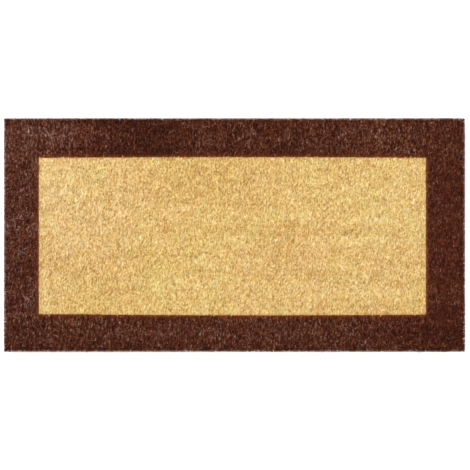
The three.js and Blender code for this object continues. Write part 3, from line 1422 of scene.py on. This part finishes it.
# ----------------------------------------------------------------------------
# Yarns
# ----------------------------------------------------------------------------


@dataclass(frozen=True)
class Strand:
    """One spun strand: the points it follows and how its flattened section turns along it."""

    points: np.ndarray
    turn_per_point: float = 0.0


@dataclass
class Yarn:
    """A yarn of one or more strands, swept as bevelled curves and turned into a mesh."""

    name: str
    strands: list[Strand]
    thickness: float
    flatness: float = 0.66
    sides: int = 6

    def section(self) -> bpy.types.Object:
        """Model the strand's section: a flattened ring.

        Returns:
            The section as a curve object.
        """
        deselect_all()
        bpy.ops.curve.primitive_nurbs_circle_add(radius=1.0)
        ring = bpy.context.object
        ring.data.splines.clear()
        spline = ring.data.splines.new("POLY")
        spline.points.add(self.sides - 1)
        radius = self.thickness / 2
        for number, point in enumerate(spline.points):
            angle = 2 * math.pi * number / self.sides
            point.co = (math.cos(angle) * radius, math.sin(angle) * radius * self.flatness, 0.0, 1.0)
        spline.use_cyclic_u = True
        return ring

    def make(self) -> bpy.types.Object:
        """Sweep the section along every strand.

        Returns:
            The yarn as a mesh object at the origin.
        """
        ring = self.section()
        curve = bpy.data.curves.new(self.name, "CURVE")
        curve.dimensions = "3D"
        curve.twist_mode = "Z_UP"
        curve.bevel_mode = "OBJECT"
        curve.bevel_object = ring
        curve.use_fill_caps = True
        for strand in self.strands:
            spline = curve.splines.new("POLY")
            count = len(strand.points)
            spline.points.add(count - 1)
            places = np.column_stack([strand.points, np.ones(count)]).astype(np.float32)
            spline.points.foreach_set("co", places.ravel())
            tilts = (np.arange(count) * strand.turn_per_point).astype(np.float32)
            spline.points.foreach_set("tilt", tilts)
        piece = bpy.data.objects.new(self.name, curve)
        bpy.context.scene.collection.objects.link(piece)
        select_only(piece)
        bpy.ops.object.convert(target="MESH")
        piece = bpy.context.object
        bpy.data.objects.remove(ring)
        self.close(piece)
        return piece

    def close(self, piece: bpy.types.Object) -> None:
        """Join the caps to the sides and turn every face outwards.

        Args:
            piece: The swept mesh.
        """
        select_only(piece)
        bpy.ops.object.mode_set(mode="EDIT")
        bpy.ops.mesh.select_all(action="SELECT")
        bpy.ops.mesh.remove_doubles(threshold=0.01 * MM)
        bpy.ops.mesh.normals_make_consistent(inside=False)
        bpy.ops.object.mode_set(mode="OBJECT")
        bpy.ops.object.shade_smooth()


@dataclass
class GroundWeave:
    """The warps and the weft, passing over and under each other."""

    yarn_thickness: float = 4.6 * MM
    crimp: float = 0.86
    weft_width: float = 3.4 * MM
    shots: int = 109
    steps_per_crossing: int = 3
    warp_inset: float = 0.5 * MM
    warp_sway: float = 0.25 * MM
    sway_rate: float = 61.0
    sway_slip: float = 2.1
    warp_twist: float = math.pi / 4
    weft_twist: float = math.pi / 5
    turn_angles: tuple[float, ...] = (45.0, 90.0, 135.0)

    def __post_init__(self) -> None:
        """Take the yarns' places from the frame."""
        self.warps = sorted(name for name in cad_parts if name.startswith("ground_warp_"))
        self.weft_low, self.weft_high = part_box("weft")
        self.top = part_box(self.warps[1])[1].z
        self.middle = self.top / 2
        self.first_x = self.weft_low.x + self.weft_width / 2
        self.pitch = (self.weft_high.x - self.weft_low.x - self.weft_width) / (self.shots - 1)
        boxes = [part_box(name) for name in self.warps]
        self.warp_lines = [(low.y + high.y) / 2 for low, high in boxes]
        self.sag = (self.middle - self.yarn_thickness / 2) * self.crimp

    def warp_strand(self, number: int) -> Strand:
        """The path of one warp.

        Args:
            number: Which warp, from 0 at the front.

        Returns:
            The strand.
        """
        low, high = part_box(self.warps[number])
        count = (self.shots - 1) * self.steps_per_crossing + 1
        x = np.linspace(low.x + self.warp_inset, high.x - self.warp_inset, count)
        phase = np.pi * (x - self.first_x) / self.pitch
        side = 1.0 if number % 2 == 0 else -1.0
        z = self.middle - side * self.sag * np.cos(phase)
        y = self.warp_lines[number] + self.warp_sway * np.sin(x * self.sway_rate + number * self.sway_slip)
        return Strand(np.column_stack([x, y, z]), self.warp_twist)

    def weft_strand(self) -> Strand:
        """The path of the weft, to and fro across every warp.

        Returns:
            The strand.
        """
        warp_pitch = self.warp_lines[1] - self.warp_lines[0]
        turn = self.pitch / 2
        reach = self.weft_high.y - turn - self.yarn_thickness / 2
        steps = len(self.warp_lines) * self.steps_per_crossing
        y_line = np.linspace(-reach, reach, steps)
        phase = np.pi * (y_line - self.warp_lines[0]) / warp_pitch
        angles = np.radians(self.turn_angles)
        path = []
        for shot in range(self.shots):
            x = self.first_x + shot * self.pitch
            way = 1 if shot % 2 == 0 else -1
            z = self.middle + way * self.sag * np.cos(phase)
            path.append(np.column_stack([np.full(steps, x), y_line, z])[::way])
            if shot < self.shots - 1:
                turned_x = x + turn - turn * np.cos(angles)
                turned_y = way * (reach + turn * np.sin(angles))
                path.append(np.column_stack([turned_x, turned_y, np.full(len(angles), self.middle)]))
        return Strand(np.concatenate(path), self.weft_twist)

    def build(self, material: bpy.types.Material) -> None:
        """Make every warp and the weft and dress them.

        Args:
            material: The base yarn's finish.
        """
        for number, node in enumerate(self.warps):
            warp = Yarn(f"{node}_yarn", [self.warp_strand(number)], self.yarn_thickness).make()
            finish_piece(warp, material, node)
        weft = Yarn("weft_yarn", [self.weft_strand()], self.yarn_thickness).make()
        finish_piece(weft, material, "weft")


class EdgeAxis(Enum):
    """The direction that an edge cord runs in."""

    LENGTHWISE = 0
    CROSSWISE = 1


@dataclass
class EdgeCord:
    """A twisted cord or a plait along one edge, with the twine that whips it down."""

    node: str
    sewing_node: str
    axis: EdgeAxis
    plaited: bool
    outward: float
    step: float = 2.4 * MM
    lay: float = 24 * MM
    strand_share: float = 0.25
    strand_flatness: float = 0.9
    strand_sides: int = 8
    stitch_pitch: float = 11 * MM
    stitch_steps: int = 12
    stitch_margin: float = 2.5 * MM
    stitch_shift: float = 0.3 * MM
    stitch_sway: float = 0.8 * MM
    sway_loops: float = 2.7
    twine_thickness: float = 1.5 * MM
    twine_flatness: float = 0.85

    def __post_init__(self) -> None:
        """Take the cord's box from the frame."""
        self.low, self.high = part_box(self.node)
        self.centre = (self.low + self.high) / 2
        size = self.high - self.low
        self.length = size.x if self.axis is EdgeAxis.LENGTHWISE else size.y
        self.width = size.y if self.axis is EdgeAxis.LENGTHWISE else size.x
        self.height = size.z

    def placed(self, along: np.ndarray, across: np.ndarray, up: np.ndarray) -> np.ndarray:
        """Put a path that is drawn along the cord into the mat's frame.

        Args:
            along: Distances from the cord's middle.
            across: Distances outwards from its centre line.
            up: Heights over its centre line.

        Returns:
            The points.
        """
        aside = across * self.outward
        x, y = (along, aside) if self.axis is EdgeAxis.LENGTHWISE else (aside, along)
        return np.column_stack([self.centre.x + x, self.centre.y + y, self.centre.z + up])

    def strands(self) -> list[Strand]:
        """The three strands, twisted round each other or plaited.

        Returns:
            The strands.
        """
        radius = self.height * self.strand_share
        half_width, half_height = self.width / 2 - radius, self.height / 2 - radius
        count = round(self.length / self.step)
        along = np.linspace(-self.length / 2 + radius, self.length / 2 - radius, count)
        made = []
        for number in range(3):
            phase = 2 * np.pi * (along / self.lay + number / 3)
            if self.plaited:
                path = self.placed(along, half_width * np.sin(phase), half_height * np.sin(2 * phase))
            else:
                path = self.placed(along, half_width * np.cos(phase), half_height * np.sin(phase))
            made.append(Strand(path))
        return made

    def stitches(self) -> Strand:
        """The twine, looped round the cord and through the base.

        Returns:
            The strand.
        """
        radius = self.twine_thickness / 2
        loops = round(self.length / self.stitch_pitch)
        angle = np.linspace(0.0, 2 * np.pi * loops, loops * self.stitch_steps + 1)
        end = self.length / 2 - self.stitch_margin
        along = np.linspace(-end, end, len(angle)) + self.stitch_sway * np.sin(angle / self.sway_loops)
        across = (self.width / 2 + radius) * np.cos(angle) - self.stitch_shift
        lowest = self.low.z + radius - self.centre.z
        up = np.maximum((self.height / 2 + radius) * np.sin(angle), lowest)
        return Strand(self.placed(along, across, up))

    def build(self, cord_material: bpy.types.Material, twine_material: bpy.types.Material) -> None:
        """Make the cord and its stitches and dress them.

        Args:
            cord_material: The cord's finish.
            twine_material: The twine's finish.
        """
        cord = Yarn(f"{self.node}_strands", self.strands(), 2 * self.strand_share * self.height,
                    self.strand_flatness, self.strand_sides).make()
        finish_piece(cord, cord_material, self.node)
        twine = Yarn(f"{self.sewing_node}_stitches", [self.stitches()], self.twine_thickness,
                     self.twine_flatness).make()
        finish_piece(twine, twine_material, self.sewing_node)


# ----------------------------------------------------------------------------
# Studio
# ----------------------------------------------------------------------------


@dataclass(frozen=True)
class SoftLight:
    """A square studio light that faces a point on the mat."""

    name: str
    place: tuple[float, float, float]
    size: float
    power: float
    colour: Colour = (1.0, 1.0, 1.0)

    def build(self) -> None:
        """Hang the light and aim it at the mat's middle."""
        deselect_all()
        bpy.ops.object.light_add(type="AREA", location=self.place)
        lamp = bpy.context.object
        lamp.name = self.name
        lamp.data.size = self.size
        lamp.data.energy = self.power
        lamp.data.color = self.colour
        lamp.rotation_euler = (-Vector(self.place)).to_track_quat("-Z", "Y").to_euler()


@dataclass
class Studio:
    """A plain pale floor, soft light and a camera that looks straight down."""

    lens: float = 135.0
    sensor: float = 36.0
    view_width: float = 0.9326
    aim: tuple[float, float] = (0.0011, 0.0)
    far_limit: float = 50.0
    floor_size: float = 14.0
    floor_drop: float = 0.2 * MM
    floor_dark: Colour = (0.90, 0.90, 0.90)
    floor_pale: Colour = (0.94, 0.94, 0.94)
    floor_grain: float = 3.0
    floor_roughness: float = 0.9
    sky_strength: float = 1.0
    lights: tuple[SoftLight, ...] = (
        SoftLight("key_light", (-1.5, 1.9, 2.6), 1.6, 100.0),
        SoftLight("fill_light", (2.0, -1.6, 2.4), 2.2, 50.0),
        SoftLight("top_light", (0.0, 0.0, 3.9), 2.4, 60.0),
    )

    def build_floor(self) -> None:
        """Lay the floor just under the mat."""
        deselect_all()
        bpy.ops.mesh.primitive_plane_add(size=self.floor_size, location=(0, 0, -self.floor_drop))
        floor = bpy.context.object
        floor.name = "studio_floor"
        bench = MaterialBench("pale_floor")
        grain = bench.noise(bench.place, self.floor_grain, 2.0)
        bench.plug(bench.ramp(grain, ((0.0, self.floor_dark), (1.0, self.floor_pale))),
                   bench.shader["Base Color"])
        bench.shader["Roughness"].default_value = self.floor_roughness
        floor.data.materials.append(bench.material)

    def build_light(self) -> None:
        """Set an even sky and three soft lights."""
        world = bpy.data.worlds.new("studio_sky")
        world.use_nodes = True
        background = world.node_tree.nodes["Background"]
        background.inputs["Color"].default_value = (1.0, 1.0, 1.0, 1.0)
        background.inputs["Strength"].default_value = self.sky_strength
        bpy.context.scene.world = world
        for light in self.lights:
            light.build()

    def build_camera(self) -> None:
        """Hang the camera over the mat."""
        distance = self.view_width / 2 / (self.sensor / 2 / self.lens)
        deselect_all()
        bpy.ops.object.camera_add(location=(*self.aim, cad_bounds[1][2] + distance), rotation=(0, 0, 0))
        camera = bpy.context.object
        camera.name = "camera"
        camera.data.lens = self.lens
        camera.data.sensor_width = self.sensor
        camera.data.clip_end = self.far_limit
        bpy.context.scene.camera = camera
        bpy.context.scene.view_settings.view_transform = "Standard"

    def build(self) -> None:
        """Set up the whole studio."""
        self.build_camera()
        self.build_floor()
        self.build_light()


# ----------------------------------------------------------------------------
# The mat
# ----------------------------------------------------------------------------


BORDER_TUFTS = {
    "finish": BORDER_PILE,
    "legs_in_row": 3,
    "row_fill": 0.9,
    "tuft_pitch": 5.8 * MM,
    "fibres_in_tuft": 8,
    "tuft_reach_x": 1.35 * MM,
    "tuft_reach_y": 2.9 * MM,
    "tuft_tone_scatter": 0.14,
}


class DoorMat:
    """The whole mat: its zones of pile, its weave and its edges."""

    def __init__(self, shared: SharedShaders) -> None:
        """Make the finishes and list the sub-assemblies.

        Args:
            shared: The shared shader groups.
        """
        finishes = (NATURAL_PILE, BORDER_PILE, BASE_YARN, EDGE_YARN, SEWING_TWINE)
        self.materials = {finish.name: finish.make(shared) for finish in finishes}
        self.zones = [
            PileZone("pile_end_left", seed=11, open_sides=OpenSides(left=True, front=True, back=True),
                     fibre_tone_scatter=0.25, **BORDER_TUFTS),
            PileZone("pile_end_right", seed=12, open_sides=OpenSides(right=True, front=True, back=True),
                     fibre_tone_scatter=0.18, **BORDER_TUFTS),
            PileZone("pile_side_front", seed=13, open_sides=OpenSides(front=True), strips=2,
                     fibre_tone_scatter=0.22, **BORDER_TUFTS),
            PileZone("pile_side_back", seed=14, open_sides=OpenSides(back=True), strips=2,
                     fibre_tone_scatter=0.22, **BORDER_TUFTS),
            PileZone("pile_field", NATURAL_PILE, seed=15, open_sides=OpenSides(), strips=5,
                     loose_fibres_per_m2=4000.0, loose_tone=0.84, loose_inset=8 * MM, bleed_reach=1.2 * MM,
                     tuft_drop_scatter=0.3 * MM, short_tufts=0.015, pale_tufts=0.015),
        ]
        self.weave = GroundWeave()
        self.edges = [
            EdgeCord("selvedge_cord_front", "sewing_yarn_front", EdgeAxis.LENGTHWISE, False, -1.0),
            EdgeCord("selvedge_cord_back", "sewing_yarn_back", EdgeAxis.LENGTHWISE, False, 1.0),
            EdgeCord("end_braid_left", "sewing_yarn_left", EdgeAxis.CROSSWISE, True, -1.0),
            EdgeCord("end_braid_right", "sewing_yarn_right", EdgeAxis.CROSSWISE, True, 1.0),
        ]

    def build(self) -> None:
        """Build every sub-assembly."""
        stems = {kind: Stem.model(kind) for kind in StemKind}
        for zone in self.zones:
            zone.build(stems, self.materials[zone.finish.name])
        self.weave.build(self.materials[BASE_YARN.name])
        for edge in self.edges:
            edge.build(self.materials[EDGE_YARN.name], self.materials[SEWING_TWINE.name])


def main() -> None:
    """Build the studio and the mat."""
    logging.basicConfig(level=logging.INFO, format="%(name)s: %(message)s")
    Studio().build()
    DoorMat(SharedShaders()).build()


if __name__ == "__main__":
    main()
